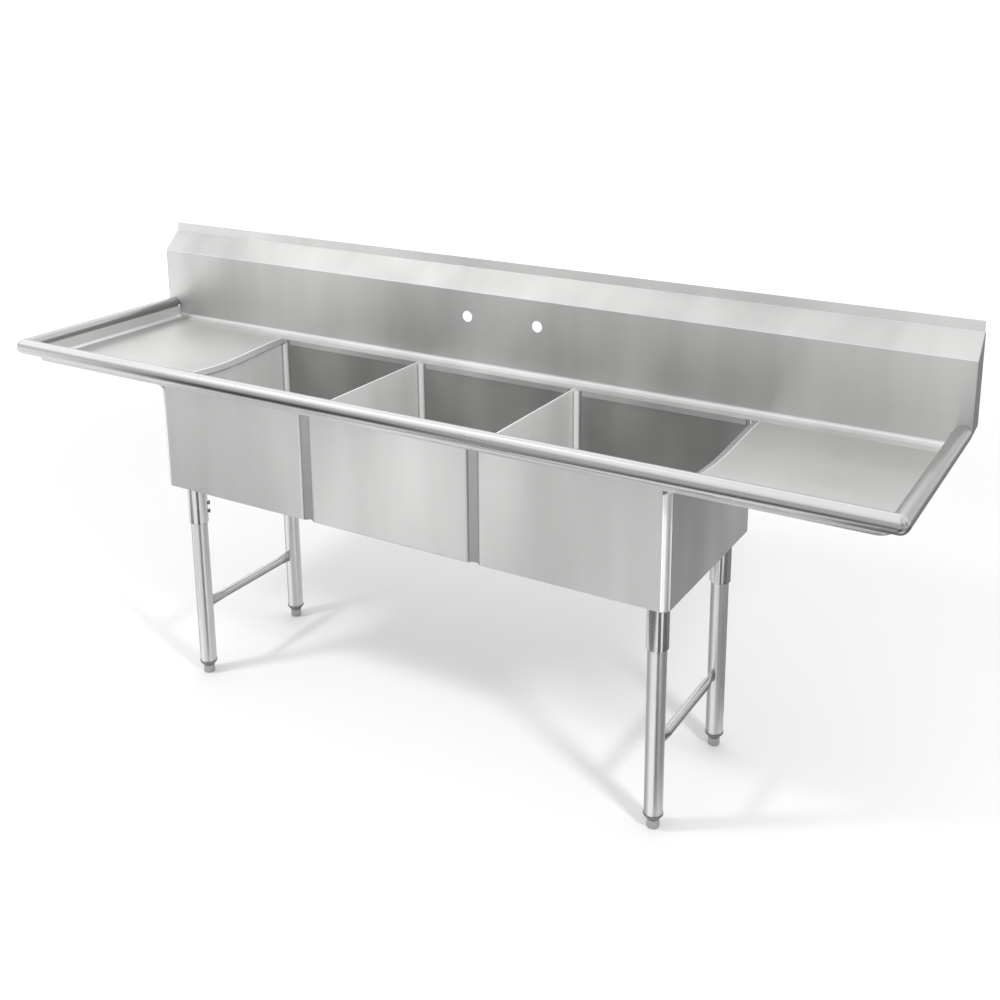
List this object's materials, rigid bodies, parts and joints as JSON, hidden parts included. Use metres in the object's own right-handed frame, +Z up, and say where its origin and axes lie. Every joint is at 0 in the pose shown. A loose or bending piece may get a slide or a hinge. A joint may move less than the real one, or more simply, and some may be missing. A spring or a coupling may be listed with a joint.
{
  "type": "three compartment sink",
  "caption": "Long stainless steel sink with deep square bowls side by side, rolled-rim drainboards at both ends, a high sloped splash with faucet holes, and tube legs on screw feet.",
  "frame": {"origin": "middle of the footprint on the floor, under the middle of the overall depth from wall to front rim", "axes": "+X along the sink to the right as seen from the front, +Y towards the wall, +Z up"},
  "size_m": [2.286, 0.5969, 1.069],
  "materials": {
    "sheet_steel": "brushed stainless sheet with a fine lengthwise grain",
    "rim_steel": "satin rolled rim, grain along its length",
    "bowl_steel": "brushed stainless with soft reflections and polished weld lines",
    "plate_steel": "mill finish",
    "socket_steel": "bright polished stainless",
    "screw_steel": "dark steel",
    "leg_steel": "satin tube, grain along its length",
    "foot_steel": "matte cast stainless",
    "drain_steel": "pressed and polished stainless",
    "tailpiece_chrome": "chrome-plated tube",
    "nut_metal": "cast and plated, slightly dull",
    "rubber": "matte black rubber",
    "fibre": "pressed fibre washer"
  },
  "bodies": {
    "sink": {"backsplash": "sheet_steel", "splash_end_cap_left": "sheet_steel", "splash_end_cap_right": "sheet_steel", "drainboard_left": "sheet_steel", "drainboard_right": "sheet_steel", "front_apron": "sheet_steel", "front_rim": "rim_steel", "side_rim_left": "rim_steel", "side_rim_right": "rim_steel", "bowl_left": "bowl_steel", "bowl_center": "bowl_steel", "bowl_right": "bowl_steel", "divider_cap_left": "bowl_steel", "divider_cap_right": "bowl_steel", "front_seam_strip_left": "bowl_steel", "front_seam_strip_right": "bowl_steel", "rear_seam_strip_left": "bowl_steel", "rear_seam_strip_right": "bowl_steel", "leg_plate_front_left": "plate_steel", "leg_plate_front_right": "plate_steel", "leg_plate_rear_left": "plate_steel", "leg_plate_rear_right": "plate_steel", "leg_socket_front_left": "socket_steel", "leg_socket_front_right": "socket_steel", "leg_socket_rear_left": "socket_steel", "leg_socket_rear_right": "socket_steel", "socket_set_screws": "screw_steel", "leg_tube_front_left": "leg_steel", "leg_tube_front_right": "leg_steel", "leg_tube_rear_left": "leg_steel", "leg_tube_rear_right": "leg_steel", "crossbar_left": "leg_steel", "crossbar_right": "leg_steel", "foot_insert_front_left": "foot_steel", "foot_insert_front_right": "foot_steel", "foot_insert_rear_left": "foot_steel", "foot_insert_rear_right": "foot_steel", "drain_body_left": "drain_steel", "drain_body_center": "drain_steel", "drain_body_right": "drain_steel", "drain_tailpiece_left": "tailpiece_chrome", "drain_tailpiece_center": "tailpiece_chrome", "drain_tailpiece_right": "tailpiece_chrome", "drain_locknuts": "nut_metal", "drain_coupling_nuts": "nut_metal", "drain_gaskets": "rubber", "drain_washers": "fibre"},
    "basket_left": {"strainer_basket_left": "drain_steel", "basket_seal_left": "rubber"},
    "basket_center": {"strainer_basket_center": "drain_steel", "basket_seal_center": "rubber"},
    "basket_right": {"strainer_basket_right": "drain_steel", "basket_seal_right": "rubber"},
    "foot_front_left": {"bullet_foot_front_left": "foot_steel"},
    "foot_front_right": {"bullet_foot_front_right": "foot_steel"},
    "foot_rear_left": {"bullet_foot_rear_left": "foot_steel"},
    "foot_rear_right": {"bullet_foot_rear_right": "foot_steel"}
  },
  "joints": [
    {"name": "foot_front_left_screw", "type": "slide", "parent": "sink", "child": "foot_front_left", "axis": [0, 0, -1], "range_m": [0, 0.025]},
    {"name": "foot_front_right_screw", "type": "slide", "parent": "sink", "child": "foot_front_right", "axis": [0, 0, -1], "range_m": [0, 0.025]},
    {"name": "foot_rear_left_screw", "type": "slide", "parent": "sink", "child": "foot_rear_left", "axis": [0, 0, -1], "range_m": [0, 0.025]},
    {"name": "foot_rear_right_screw", "type": "slide", "parent": "sink", "child": "foot_rear_right", "axis": [0, 0, -1], "range_m": [0, 0.025]},
    {"name": "basket_left_lift", "type": "slide", "parent": "sink", "child": "basket_left", "axis": [0, 0, 1], "range_m": [0, 0.58]},
    {"name": "basket_center_lift", "type": "slide", "parent": "sink", "child": "basket_center", "axis": [0, 0, 1], "range_m": [0, 0.58]},
    {"name": "basket_right_lift", "type": "slide", "parent": "sink", "child": "basket_right", "axis": [0, 0, 1], "range_m": [0, 0.58]}
  ]
}
